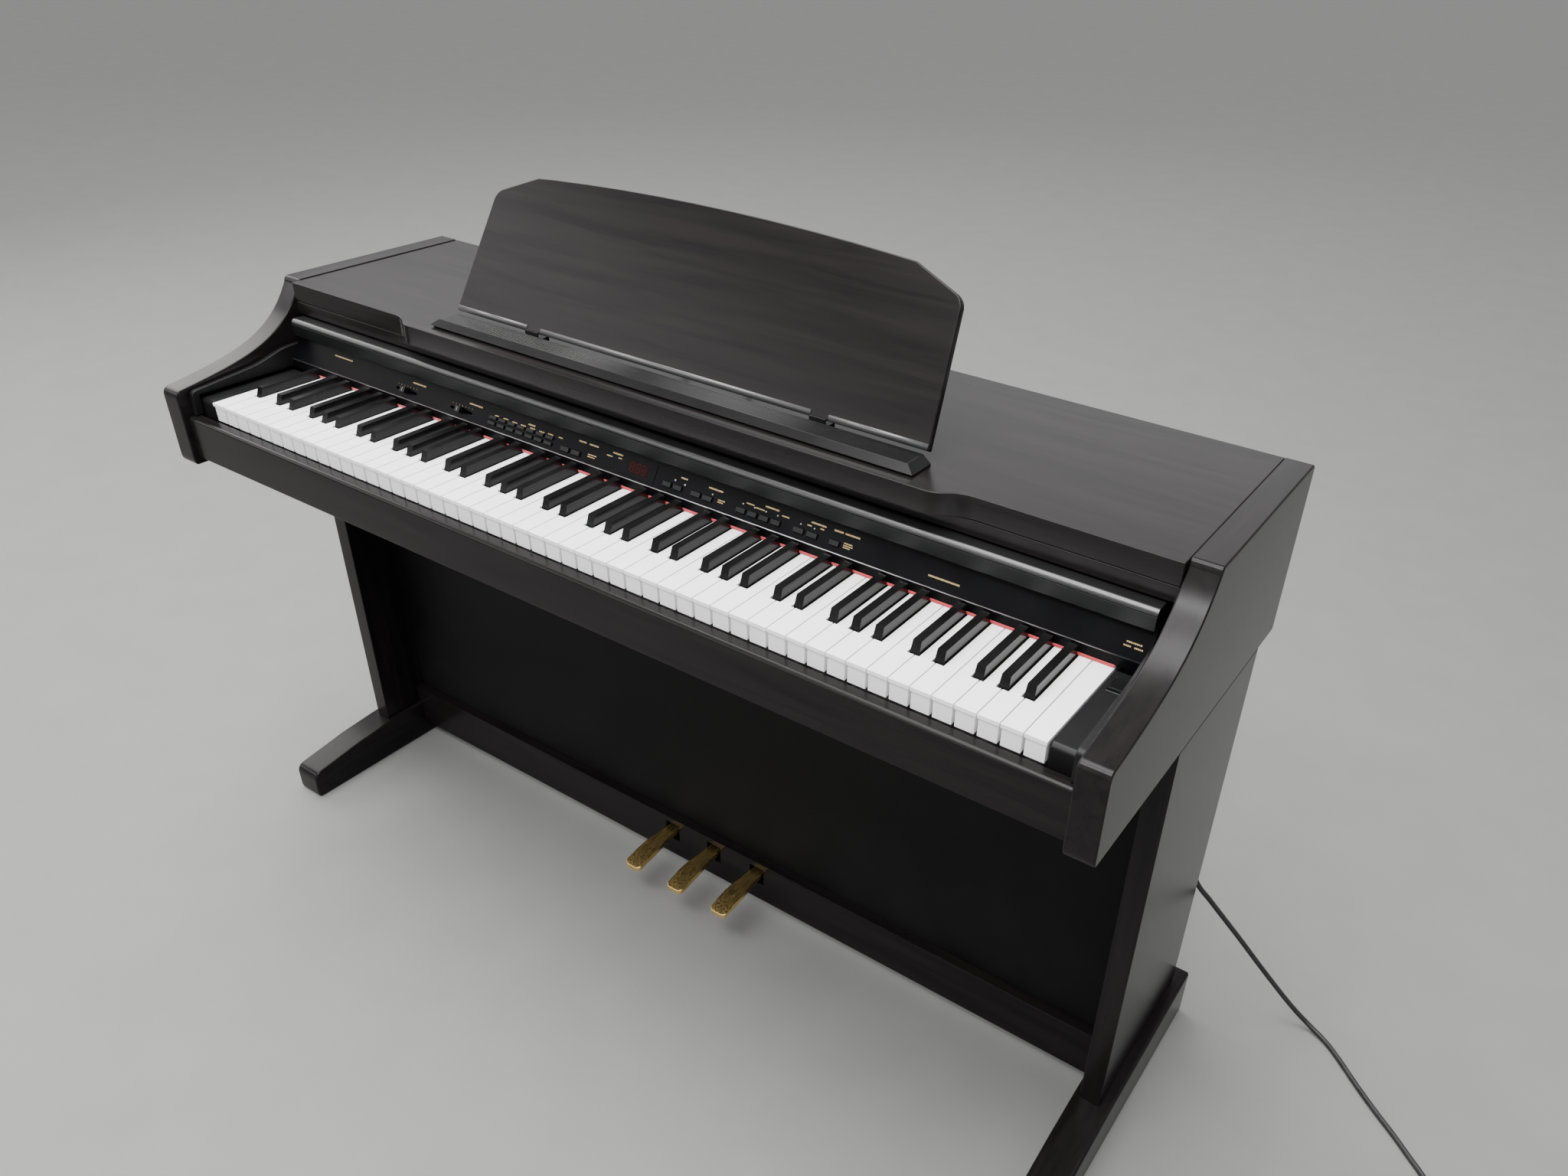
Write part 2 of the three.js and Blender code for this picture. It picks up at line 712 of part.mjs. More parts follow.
// ---- Mains cord ---------------------------------------------------------------------

// The coil of spare cord; the last turn leaves it at this angle, towards the plug.
const COIL = { x: 1050.5, y: 71, middle: 38, width: 21, high: 14.4, leaves: 43.8 };

// The route from the gland, down behind the right leg and over the floor to the coil.
const CORD_ROUTE = [
  [630, 205, 569.5],
  [630.5, 205, 520],
  [632, 205.5, 470],
  [635.5, 207, 410],
  [642, 210, 345],
  [654, 215.5, 280],
  [676, 225, 226],
  [695, 233, 201],
  [719, 243, 170],
  [744, 254, 137],
  [768, 264, 105],
  [795, 275, 70],
  [818, 283.5, 42],
  [838, 289, 21.5],
  [858, 289, 9],
  [880, 281, 4.2],
  [902, 264.5, 3.7],
  [925, 243.5, 3.7],
  [949, 222, 3.7],
  [973, 202, 3.7],
  [997, 183, 3.7],
  [1020, 163, 3.7],
  [1041, 145, 3.7],
  [1065, 121, 3.7],
];

function addCord() {
  const { diameter } = CORD;
  const points = CORD_ROUTE.map(([x, y, z]) => new THREE.Vector3(x, y, z));
  const route = new THREE.CatmullRomCurve3(points, false, "centripetal");
  const section = new THREE.Shape().absarc(0, 0, diameter / 2, 0, 2 * Math.PI);
  const tube = new THREE.ExtrudeGeometry(section, {
    steps: 64,
    extrudePath: route,
    curveSegments: 4,
  });
  place("mains_cord", tube, blackRubber);
}

// The wound spare length as one ring, and the plug at the end of the last turn.
function addCoilAndPlug() {
  const { x, y, middle, width, high, leaves } = COIL;
  const inner = middle - width / 2;
  const outer = middle + width / 2;
  const ring = turned([[inner, 0.2], [outer, 0.2], [outer, high], [inner, high], [inner, 0.2]], 40);
  place("cord_coil", ring.translate(x, y, 0), blackRubber);

  const height = 10.9;
  const bootStart = 27;
  const bodyStart = 47;
  const boot = turned([[0, bootStart], [3.9, bootStart], [6.5, bodyStart + 1], [0, bodyStart + 1]], 16);
  const body = box(-13, 13, -(height - GAP), height - GAP, bodyStart, bodyStart + 34);
  const pins = [-6.35, 6.35].map((p) => box(p - 0.8, p + 0.8, -3.2, 3.2, bodyStart + 33, bodyStart + 51));
  const outerTurn = middle + CORD.diameter;
  const start = THREE.MathUtils.degToRad(leaves);
  const plug = join(boot, body, ...pins)
    .rotateX(Math.PI / 2)
    .rotateZ(start)
    .translate(x + outerTurn * Math.cos(start), y + outerTurn * Math.sin(start), height);
  place("mains_plug", plug, blackRubber);
}

// The gland in the keybed, with a collar below and a tapered strain relief.
function addGland() {
  const under = BED.low;
  const profile = [
    [0, under - 48],
    [4.6, under - 48],
    [6, under - 8],
    [10, under - 7],
    [10, under - GAP],
    [6.6, under - GAP],
    [6.6, under + 12],
    [0, under + 12],
  ];
  place("cord_gland", turned(profile, 20).translate(CORD.x, CORD.y, 0), blackRubber);
}

// ---- Assembly -----------------------------------------------------------------------

addCheeks();
addTopPanel();
addFascia();
addKeySlip();
addKeybed();
addRearPanel();
addKeyBlocks();
addControlPanel();
for (const [name, buttons] of Object.entries(BUTTONS)) addButtonStrip(name, buttons);
for (const [name, x] of Object.entries(SLIDERS)) addSlider(name, x);
addPowerButton();
addKeyCover();
addCoverTracks();
addKeys();
addKeyFrame();
addSpeakers();
addCircuitBoard();
addRestBoard();
addRestLedge();
addRestHinges();
addRestStay();
addStandSide("left", -1);
addStandSide("right", 1);
addStandPanels();
addPedals();
addCord();
addCoilAndPlug();
addGland();

export default root;
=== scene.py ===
# The looks of a console digital piano: casework, 88 keys, controls, pedals and cord.
# Metres. X runs to the treble end, Y to the back, Z up from the floor.

import json
import math

import bmesh
import bpy
from mathutils import Matrix, Vector


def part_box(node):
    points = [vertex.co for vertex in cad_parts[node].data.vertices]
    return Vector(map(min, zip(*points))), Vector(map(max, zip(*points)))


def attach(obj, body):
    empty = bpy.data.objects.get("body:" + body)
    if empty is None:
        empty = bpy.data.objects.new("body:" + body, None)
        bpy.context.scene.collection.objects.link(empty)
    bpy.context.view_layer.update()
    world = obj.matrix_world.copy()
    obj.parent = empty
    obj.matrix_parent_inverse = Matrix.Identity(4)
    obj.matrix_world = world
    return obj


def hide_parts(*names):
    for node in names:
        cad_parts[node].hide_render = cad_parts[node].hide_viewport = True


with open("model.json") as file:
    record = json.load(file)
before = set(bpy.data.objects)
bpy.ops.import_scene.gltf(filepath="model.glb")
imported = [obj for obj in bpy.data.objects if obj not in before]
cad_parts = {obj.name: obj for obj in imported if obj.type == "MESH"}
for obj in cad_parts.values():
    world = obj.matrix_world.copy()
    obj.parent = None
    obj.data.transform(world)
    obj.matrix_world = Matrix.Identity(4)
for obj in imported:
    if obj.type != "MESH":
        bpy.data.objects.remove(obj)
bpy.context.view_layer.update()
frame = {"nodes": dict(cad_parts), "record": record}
MM = 0.001


# ---- Camera, stage and light --------------------------------------------------------


def add_camera():
    """Looks down at the keyboard from beyond its treble end, at a standing player's height."""
    yaw = math.radians(32.65)
    pitch = math.radians(-33.33)
    roll = math.radians(2.35)
    data = bpy.data.cameras.new("camera")
    data.sensor_width = 36
    data.lens = 27.78
    data.shift_x = -0.0475
    data.shift_y = 0.0384
    data.clip_end = 200
    camera = bpy.data.objects.new("camera", data)
    bpy.context.scene.collection.objects.link(camera)
    turn = Matrix.Rotation(yaw, 4, "Z") @ Matrix.Rotation(pitch + math.pi / 2, 4, "X")
    turn = turn @ Matrix.Rotation(roll, 4, "Z")
    camera.matrix_world = Matrix.Translation((0.921, -1.008, 1.345)) @ turn
    bpy.context.scene.camera = camera


def add_area_light(name, location, target, size, power, color=(1, 1, 1)):
    data = bpy.data.lights.new(name, "AREA")
    data.shape = "RECTANGLE"
    data.size = size[0]
    data.size_y = size[1]
    data.energy = power
    data.color = color
    light = bpy.data.objects.new(name, data)
    bpy.context.scene.collection.objects.link(light)
    light.location = location
    aim = Vector(target) - Vector(location)
    light.rotation_euler = aim.to_track_quat("-Z", "Y").to_euler()
    light.visible_camera = False
    return light


def add_overhead_light():
    """A soft even light straight down, so that the floor stays pale as far as it is seen."""
    data = bpy.data.lights.new("overhead", "SUN")
    data.energy = 1.9
    data.angle = math.radians(34)
    light = bpy.data.objects.new("overhead", data)
    bpy.context.scene.collection.objects.link(light)
    light.location = (0, 0, 3)
    return light


def add_light():
    middle = (0, 0, 0.7)
    add_overhead_light()
    add_area_light("ceiling", (-0.4, -0.3, 3.3), middle, (4.4, 1.6), 185)
    add_area_light("front_ceiling", (0.1, -1.9, 3.2), middle, (2.6, 0.4), 60)
    add_area_light("front_wall", (-3.2, -4.0, 2.6), middle, (5.4, 1.8), 85)
    add_area_light("window", (-3.6, 0.0, 2.4), middle, (2.0, 2.0), 70, (1, 0.985, 0.96))
    add_area_light("back_wall", (-2.6, 4.0, 3.6), middle, (6.0, 2.6), 60)
    add_area_light("fill", (2.6, -2.6, 1.7), middle, (1.8, 1.8), 16, (0.95, 0.97, 1))
    world = bpy.data.worlds.new("room")
    world.use_nodes = True
    background = world.node_tree.nodes["Background"]
    background.inputs["Color"].default_value = (0.93, 0.94, 0.95, 1)
    background.inputs["Strength"].default_value = 0.55
    bpy.context.scene.world = world


def add_floor():
    mesh = bpy.data.meshes.new("floor")
    half = 60
    corners = [(-half, -half, 0), (half, -half, 0), (half, half, 0), (-half, half, 0)]
    mesh.from_pydata(corners, [], [(0, 1, 2, 3)])
    floor = bpy.data.objects.new("floor", mesh)
    bpy.context.scene.collection.objects.link(floor)
    paint = Paint("floor_paint", (0.205, 0.205, 0.2), 0.7)
    mottled = paint.noise((9, 9, 9), detail=6)
    paint.mix_color(mottled, (0.2, 0.2, 0.195), (0.21, 0.21, 0.205))
    mesh.materials.append(paint.material)


# ---- Materials ----------------------------------------------------------------------


class Paint:
    """A Principled material and the few node patterns that the piano's finishes share."""

    def __init__(self, name, color, roughness, metallic=0.0):
        self.material = bpy.data.materials.new(name)
        self.material.use_nodes = True
        self.tree = self.material.node_tree
        self.shader = self.tree.nodes["Principled BSDF"]
        self.set("Base Color", (*color, 1))
        self.set("Roughness", roughness)
        self.set("Metallic", metallic)
        self.places = self.tree.nodes.new("ShaderNodeTexCoord").outputs["Object"]
        self.normal = None

    def set(self, socket, value):
        self.shader.inputs[socket].default_value = value

    def feed(self, socket, output):
        self.tree.links.new(output, self.shader.inputs[socket])

    def noise(self, scale, detail=4.0, roughness=0.55, distortion=0.0):
        """Noise with its own number of features per metre along X, Y and Z."""
        mapping = self.tree.nodes.new("ShaderNodeMapping")
        mapping.inputs["Scale"].default_value = scale
        self.tree.links.new(self.places, mapping.inputs["Vector"])
        node = self.tree.nodes.new("ShaderNodeTexNoise")
        node.inputs["Scale"].default_value = 1
        node.inputs["Detail"].default_value = detail
        node.inputs["Roughness"].default_value = roughness
        node.inputs["Distortion"].default_value = distortion
        self.tree.links.new(mapping.outputs["Vector"], node.inputs["Vector"])
        return node.outputs["Fac"]

    def spread(self, value, low, high, start=0.35, end=0.65):
        """Maps a noise value from start..end to low..high."""
        node = self.tree.nodes.new("ShaderNodeMapRange")
        node.inputs["From Min"].default_value = start
        node.inputs["From Max"].default_value = end
        node.inputs["To Min"].default_value = low
        node.inputs["To Max"].default_value = high
        self.tree.links.new(value, node.inputs["Value"])
        return node.outputs["Result"]

    def mix_color(self, value, dark, light, start=0.35, end=0.65):
        node = self.tree.nodes.new("ShaderNodeMix")
        node.data_type = "RGBA"
        node.inputs["A"].default_value = (*dark, 1)
        node.inputs["B"].default_value = (*light, 1)
        self.tree.links.new(self.spread(value, 0, 1, start, end), node.inputs["Factor"])
        self.feed("Base Color", node.outputs["Result"])

    def mix_roughness(self, value, low, high, start=0.35, end=0.65):
        self.feed("Roughness", self.spread(value, low, high, start, end))

    def bump(self, value, depth):
        """Raises the surface by value, depth in metres; later bumps add to earlier ones."""
        node = self.tree.nodes.new("ShaderNodeBump")
        node.inputs["Distance"].default_value = depth
        node.inputs["Strength"].default_value = 1
        self.tree.links.new(value, node.inputs["Height"])
        if self.normal:
            self.tree.links.new(self.normal, node.inputs["Normal"])
        self.normal = node.outputs["Normal"]
        self.feed("Normal", self.normal)


def laminate(name, along):
    """Dark wood-grain laminate; along is the axis, 0 to 2, that the grain runs on."""
    paint = Paint(name, (0.008, 0.0065, 0.0068), 0.3)
    figure = [60.0, 60.0, 60.0]
    figure[along] = 3.5
    pores = [1100.0, 1100.0, 1100.0]
    pores[along] = 30.0
    grain = paint.noise(figure, detail=7, roughness=0.6, distortion=0.5)
    fine = paint.noise(pores, detail=3)
    paint.mix_color(grain, (0.0055, 0.0044, 0.0047), (0.0110, 0.0088, 0.0088))
    paint.mix_roughness(fine, 0.21, 0.25)
    paint.bump(fine, 0.0000015)
    paint.set("Specular IOR Level", 0.16)
    return paint.material


def smooth_plastic(name, color, roughness, texture=0.0, scuffs=0.06, shine=0.5):
    """Moulded plastic with a fine texture and faint, uneven wear in its shine."""
    paint = Paint(name, color, roughness)
    paint.set("Specular IOR Level", shine)
    wear = paint.noise((14, 14, 14), detail=6, distortion=0.4)
    paint.mix_color(wear, color, tuple(min(1, c * 1.12 + 0.002) for c in color))
    paint.mix_roughness(wear, roughness, roughness + scuffs)
    if texture:
        paint.bump(paint.noise((1500, 1500, 1500), detail=2), texture)
    else:
        paint.bump(paint.noise((40, 40, 40), detail=2), 0.00003)
    return paint.material


def brushed_metal(name, color, roughness, along=0, scratch=0.00003, tarnished=0.78):
    """Metal brushed along one axis, darker by the factor tarnished where it is dull."""
    paint = Paint(name, color, roughness, metallic=1)
    lines = [1400.0, 1400.0, 1400.0]
    lines[along] = 12.0
    brushed = paint.noise(lines, detail=3)
    tarnish = paint.noise((60, 60, 60), detail=5)
    paint.mix_color(tarnish, tuple(c * tarnished for c in color), color)
    paint.mix_roughness(brushed, roughness, roughness + 0.18)
    paint.bump(brushed, scratch)
    return paint.material


def felt_material():
    paint = Paint("red_felt", (0.42, 0.012, 0.02), 0.95)
    fibres = paint.noise((2500, 2500, 2500), detail=3)
    paint.mix_color(fibres, (0.30, 0.006, 0.012), (0.62, 0.03, 0.04))
    paint.set("Sheen Weight", 0.6)
    paint.bump(fibres, 0.0003)
    return paint.material


def cord_material():
    paint = Paint("cord_jacket", (0.012, 0.012, 0.012), 0.5)
    wear = paint.noise((90, 90, 90), detail=4)
    paint.mix_color(wear, (0.008, 0.008, 0.008), (0.02, 0.02, 0.02))
    paint.mix_roughness(wear, 0.42, 0.62)
    paint.bump(paint.noise((700, 700, 700), detail=2), 0.00008)
    return paint.material


def circuit_material():
    paint = Paint("circuit_board", (0.02, 0.09, 0.04), 0.5)
    tracks = paint.noise((160, 160, 160), detail=1)
    paint.mix_color(tracks, (0.012, 0.06, 0.028), (0.04, 0.16, 0.07), 0.48, 0.52)
    paint.bump(tracks, 0.0001)
    return paint.material


# The emission here is a painted glow: the display it goes on is unlit and is no lamp.
def glowing_red(name, color, strength):
    paint = Paint(name, color, 0.3)
    uneven = paint.noise((300, 300, 300), detail=2)
    paint.mix_color(uneven, color, tuple(c * 1.3 for c in color))
    paint.set("Specular IOR Level", 0.05)
    paint.set("Emission Color", (1, 0.06, 0.03, 1))
    paint.set("Emission Strength", strength)
    return paint.material


MATERIALS = {
    "wood_x": laminate("laminate_along_x", 0),
    "wood_y": laminate("laminate_along_y", 1),
    "wood_z": laminate("laminate_along_z", 2),
    # dark_board: a black board's own colour, made darker still as painted shade for the deep shade
    # under the piano.
    "dark_board": smooth_plastic("dark_board", (0.003, 0.003, 0.003), 0.6, 0.00004, 0.06, 0.15),
    "gloss_black": smooth_plastic("gloss_black", (0.005, 0.005, 0.0052), 0.3, 0.0, 0.02, 0.9),
    "satin_black": smooth_plastic("satin_black", (0.004, 0.0044, 0.0042), 0.3, 0.0, 0.04, 0.22),
    "panel_black": smooth_plastic("panel_black", (0.002, 0.002, 0.0025), 0.3, 0.0, 0.04, 0.05),
    "black_plastic": smooth_plastic("black_plastic", (0.005, 0.005, 0.0054), 0.4, 0.00003, 0.06, 0.2),
    "button_black": smooth_plastic("button_black", (0.004, 0.004, 0.0045), 0.4, 0.00002, 0.06, 0.2),
    "white_key": smooth_plastic("white_key", (0.96, 0.96, 0.955), 0.25, 0.0, 0.08, 0.4),
    # The pale grey below is a painted highlight along the music rest board's lower edge.
    "rest_painted_highlight": smooth_plastic("rest_painted_highlight", (0.045, 0.045, 0.045), 0.3, 0.0, 0.06, 0.8),
    "ledge_black": smooth_plastic("ledge_black", (0.005, 0.005, 0.0052), 0.24, 0.0, 0.03, 0.25),
    "black_key": smooth_plastic("black_key", (0.004, 0.004, 0.004), 0.18, 0.0, 0.06, 0.18),
    "felt": felt_material(),
    "brass": brushed_metal("pedal_brass", (0.92, 0.66, 0.25), 0.2, 1, 0.000006, 0.9),
    "steel": brushed_metal("steel", (0.55, 0.55, 0.56), 0.3),
    "zinc": brushed_metal("dark_zinc", (0.16, 0.16, 0.165), 0.35),
    "silver_line": brushed_metal("silver_line", (0.4, 0.4, 0.4), 0.3),
    "label": smooth_plastic("label_print", (0.36, 0.26, 0.11), 0.45),
    "white_print": smooth_plastic("white_print", (0.22, 0.22, 0.21), 0.45),
    "cone": smooth_plastic("speaker_cone", (0.02, 0.02, 0.021), 0.7, 0.0001),
    "grille": smooth_plastic("grille_cloth", (0.015, 0.015, 0.015), 0.85, 0.0006),
    "circuit": circuit_material(),
    "cord": cord_material(),
    # The display and digit materials carry a faint red glow painted on the unlit display field and
    # digits.
    "display": glowing_red("display_painted_glow", (0.006, 0.0015, 0.0015), 0.0006),
    "digit": glowing_red("digit_painted_glow", (0.03, 0.004, 0.0035), 0.004),
}


# ---- Piece helpers ------------------------------------------------------------------


def finish_piece(name, mesh, material, body, replaced=()):
    """Makes an object of a mesh that is already in place and lets it ride on a body."""
    mesh.materials.append(MATERIALS[material])
    piece = bpy.data.objects.new(name, mesh)
    bpy.context.scene.collection.objects.link(piece)
    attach(piece, body)
    if replaced:
        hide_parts(*replaced)
    return piece


def to_mesh(name, bm, smooth=True):
    bmesh.ops.recalc_face_normals(bm, faces=bm.faces)
    mesh = bpy.data.meshes.new(name)
    for face in bm.faces:
        face.smooth = smooth
    bm.to_mesh(mesh)
    bm.free()
    return mesh


def bevel_edges(bm, width, segments=2, angle=30):
    sharp = [
        e
        for e in bm.edges
        if len(e.link_faces) == 2 and e.calc_face_angle(0) > math.radians(angle)
    ]
    bmesh.ops.bevel(
        bm,
        geom=sharp,
        offset=width,
        segments=segments,
        profile=0.5,
        affect="EDGES",
        clamp_overlap=True,
    )


def soften(piece, width, segments=3):
    """Rounds a piece's edges and keeps its flat faces flat in the shading."""
    if width:
        bevel = piece.modifiers.new("edges", "BEVEL")
        bevel.width = width
        bevel.segments = segments
        bevel.limit_method = "ANGLE"
        bevel.angle_limit = math.radians(32)
    normals = piece.modifiers.new("normals", "WEIGHTED_NORMAL")
    normals.keep_sharp = True


def body_of_node(node):
    groups = frame["record"]["behaviour"]["bodies"]
    return next(body for body, nodes in groups.items() if node in nodes)


def refine(node, material, edge=0.001, segments=3):
    """Redraws a CAD node with rounded edges and a real material, in the same place."""
    bm = bmesh.new()
    bm.from_mesh(frame["nodes"][node].data)
    bmesh.ops.remove_doubles(bm, verts=bm.verts, dist=0.00001)
    bmesh.ops.dissolve_limit(bm, angle_limit=math.radians(0.6), verts=bm.verts, edges=bm.edges)
    mesh = to_mesh(node + "_fine", bm)
    piece = finish_piece(node + "_fine", mesh, material, body_of_node(node), [node])
    soften(piece, edge, segments)
    return piece


def prism(bm, points, offset):
    """A closed prism of 3-D points pushed along offset."""
    low = [bm.verts.new(p) for p in points]
    high = [bm.verts.new(Vector(p) + Vector(offset)) for p in points]
    bm.faces.new(list(reversed(low)))
    bm.faces.new(high)
    for i in range(len(low)):
        j = (i + 1) % len(low)
        bm.faces.new([low[i], low[j], high[j], high[i]])


def block(bm, x0, x1, y0, y1, z0, z1):
    prism(bm, [(x0, y0, z0), (x1, y0, z0), (x1, y1, z0), (x0, y1, z0)], (0, 0, z1 - z0))


def across_x(bm, outline, x0, x1):
    """A prism of an outline in (y, z), from x0 to x1."""
    prism(bm, [(x0, y, z) for y, z in outline], (x1 - x0, 0, 0))


def arc(centre, radius, start, end, steps):
    """Points on an arc, angles in degrees from the first axis to the second."""
    turns = [math.radians(start + (end - start) * i / steps) for i in range(steps + 1)]
    return [(centre[0] + radius * math.cos(t), centre[1] + radius * math.sin(t)) for t in turns]


def screw(name, place, outwards, radius, body, material="zinc"):
    """A pan-head screw with a cross recess, its head standing out of a face."""
    bm = bmesh.new()
    height = radius * 0.5
    bmesh.ops.create_cone(
        bm, cap_ends=True, segments=20, radius1=radius, radius2=radius * 0.72, depth=height
    )
    bevel_edges(bm, radius * 0.12, 2)
    for turn in (0, math.pi / 2):
        bar = bmesh.new()
        reach = radius * 0.5
        block(bar, -reach, reach, -reach * 0.2, reach * 0.2, height * 0.42, height * 0.53)
        bar.transform(Matrix.Rotation(turn, 4, "Z"))
        mesh = bpy.data.meshes.new("recess")
        bar.to_mesh(mesh)
        bar.free()
        bm.from_mesh(mesh)
        bpy.data.meshes.remove(mesh)
    bm.transform(Vector(outwards).to_track_quat("Z", "Y").to_matrix().to_4x4())
    bm.transform(Matrix.Translation(Vector(place) + Vector(outwards) * height / 2))
    return finish_piece(name, to_mesh(name, bm), material, body)


# ---- Mains cord ---------------------------------------------------------------------

CORD = {"diameter": 0.007, "length": 2.0}
COIL = {"x": 1.0505, "y": 0.071, "middle": 0.038, "leaves": 43.8, "floor": 0.0037}

CORD_ROUTE = [
    (0.630, 0.205, 0.5695),
    (0.6305, 0.205, 0.520),
    (0.632, 0.2055, 0.470),
    (0.6355, 0.207, 0.410),
    (0.642, 0.210, 0.345),
    (0.654, 0.2155, 0.280),
    (0.676, 0.225, 0.226),
    (0.695, 0.233, 0.201),
    (0.719, 0.243, 0.170),
    (0.744, 0.254, 0.137),
    (0.768, 0.264, 0.105),
    (0.795, 0.275, 0.070),
    (0.818, 0.2835, 0.042),
    (0.838, 0.289, 0.0215),
    (0.858, 0.289, 0.009),
    (0.880, 0.281, 0.0042),
    (0.902, 0.2645, 0.0037),
    (0.925, 0.2435, 0.0037),
    (0.949, 0.222, 0.0037),
    (0.973, 0.202, 0.0037),
    (0.997, 0.183, 0.0037),
    (1.020, 0.163, 0.0037),
    (1.041, 0.145, 0.0037),
    (1.065, 0.121, 0.0037),
]


def coil_points():
    """Two turns inwards on the floor, a quick climb, and two turns outwards on top of them."""
    d = CORD["diameter"]
    steps = 24
    points = []
    for i in range(4 * steps + 1):
        turns = i / steps
        inwards = min(turns, 2)
        outwards = max(turns - 2, 0)
        radius = COIL["middle"] + d * (1 - inwards + outwards)
        climb = min(outwards * 6, 1)
        angle = math.radians(COIL["leaves"]) - turns * 2 * math.pi
        x = COIL["x"] + radius * math.cos(angle)
        y = COIL["y"] + radius * math.sin(angle)
        points.append((x, y, COIL["floor"] + climb * d))
    return points


def tail_points(start):
    """Straight off the last turn and into the plug's boot."""
    angle = math.radians(COIL["leaves"])
    ahead = Vector((math.sin(angle), -math.cos(angle), 0))
    return [tuple(Vector(start) + ahead * s) for s in (0.014, 0.0295)]


def add_cord():
    coil = coil_points()
    points = CORD_ROUTE + coil + tail_points(coil[-1])
    curve = bpy.data.curves.new("mains_lead", "CURVE")
    curve.dimensions = "3D"
    curve.bevel_depth = CORD["diameter"] / 2
    curve.bevel_resolution = 4
    curve.resolution_u = 6
    spline = curve.splines.new("BEZIER")
    spline.bezier_points.add(len(points) - 1)
    for knot, place in zip(spline.bezier_points, points):
        knot.co = place
        knot.handle_left_type = "AUTO"
        knot.handle_right_type = "AUTO"
    curve.materials.append(MATERIALS["cord"])
    lead = bpy.data.objects.new("mains_lead", curve)
    bpy.context.scene.collection.objects.link(lead)
    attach(lead, "cabinet")
    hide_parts("mains_cord", "cord_coil")
    plug = refine("mains_plug", "cord", 0.0012)
    tie = add_coil_tie()
    refine("cord_gland", "cord", 0.0004)


def add_coil_tie():
    """A flat strap around the coil's turns."""
    turn = math.radians(215)
    inner = COIL["middle"] - 0.0113
    outer = COIL["middle"] + 0.0113
    low = 0.0001
    high = 0.0153
    thick = 0.0006
    bm = bmesh.new()
    for x0, x1, z0, z1 in [
        (inner, outer, high - thick, high),
        (inner, outer, low, low + thick / 6),
        (inner, inner + thick, low, high),
        (outer - thick, outer, low, high),
    ]:
        block(bm, x0, x1, -0.005, 0.005, z0, z1)
    bevel_edges(bm, 0.0001, 1)
    bm.transform(Matrix.Translation((COIL["x"], COIL["y"], 0)) @ Matrix.Rotation(turn, 4, "Z"))
    return finish_piece("coil_tie", to_mesh("coil_tie", bm), "black_plastic", "cabinet")


# ---- Casework -----------------------------------------------------------------------

CASEWORK = {
    "left_cheek": ("wood_y", 0.0028),
    "right_cheek": ("wood_y", 0.0028),
    "top_panel": ("wood_x", 0.0012),
    "front_fascia": ("wood_x", 0.0012),
    "key_slip": ("wood_x", 0.0015),
    "keybed": ("dark_board", 0.0008),
    "rear_panel": ("dark_board", 0.001),
    "key_block_left": ("black_plastic", 0.0015),
    "key_block_right": ("black_plastic", 0.0015),
    "key_cover": ("wood_x", 0.0008),
    "cover_carriage": ("dark_board", 0.001),
    "cover_track_left": ("black_plastic", 0.0012),
    "cover_track_right": ("black_plastic", 0.0012),
    "left_leg": ("wood_z", 0.0012),
    "right_leg": ("wood_z", 0.0012),
    "left_foot": ("wood_y", 0.004),
    "right_foot": ("wood_y", 0.004),
    "stand_back_panel": ("dark_board", 0.0008),
    "pedal_rail": ("wood_x", 0.0012),
    "music_rest_board": ("wood_x", 0.0018),
    "music_rest_hinge_left": ("black_plastic", 0.0006),
    "music_rest_hinge_right": ("black_plastic", 0.0006),
    "music_rest_stay": ("steel", 0),
    "key_frame": ("steel", 0.0005),
    "speaker_left": ("cone", 0.0004),
    "speaker_right": ("cone", 0.0004),
    "main_circuit_board": ("circuit", 0.0004),
    "power_button": ("satin_black", 0.0006),
}


def add_casework():
    for node, (material, edge) in CASEWORK.items():
        refine(node, material, edge)


def add_rest_ledge():
    """The ledge with its fine ridges, which keep a book from sliding."""
    refine("music_rest_ledge", "ledge_black", 0.0011)
    low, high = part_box("music_rest_ledge")
    bm = bmesh.new()
    reach = high.x - 0.012
    count = 9
    first = low.y + 0.0085
    last = high.y - 0.0015
    for i in range(count):
        y = first + (last - first) * i / (count - 1)
        ridge = arc((y, high.z - 0.0003), 0.0009, 0, 180, 6)
        across_x(bm, ridge, -reach, reach)
    finish_piece("ledge_ridges", to_mesh("ledge_ridges", bm), "ledge_black", "cabinet")


REST = {"y": -0.003, "z": 0.834, "lean": math.radians(29), "half": 0.353, "thick": 0.009}


def add_rest_painted_highlight():
    """A chamfer strip along the board's lower edge, open at the two hinge tabs; its pale grey is a
    painted highlight.
    """
    front = REST["thick"] / 2
    section = [(-0.0013, front - 0.003), (-0.0013, front + 0.0002), (0.0046, front + 0.0016)]
    section += [(0.0056, front + 0.0004), (0.0056, front - 0.003)]
    bm = bmesh.new()
    for x0, x1 in ((-REST["half"], -0.229), (-0.205, 0.205), (0.229, REST["half"])):
        across_x(bm, [(-out, up) for up, out in section], x0, x1)
    bevel_edges(bm, 0.0003, 2)
    bm.transform(Matrix.Rotation(-REST["lean"], 4, "X"))
    bm.transform(Matrix.Translation((0, REST["y"], REST["z"])))
    finish_piece("rest_painted_highlight", to_mesh("rest_painted_highlight", bm), "rest_painted_highlight", "music_rest")


# ---- Key cover handle ---------------------------------------------------------------


HANDLE = {"front": -0.066, "back": -0.0461, "low": 0.7537, "seam": 0.7705, "roll": 0.0065}


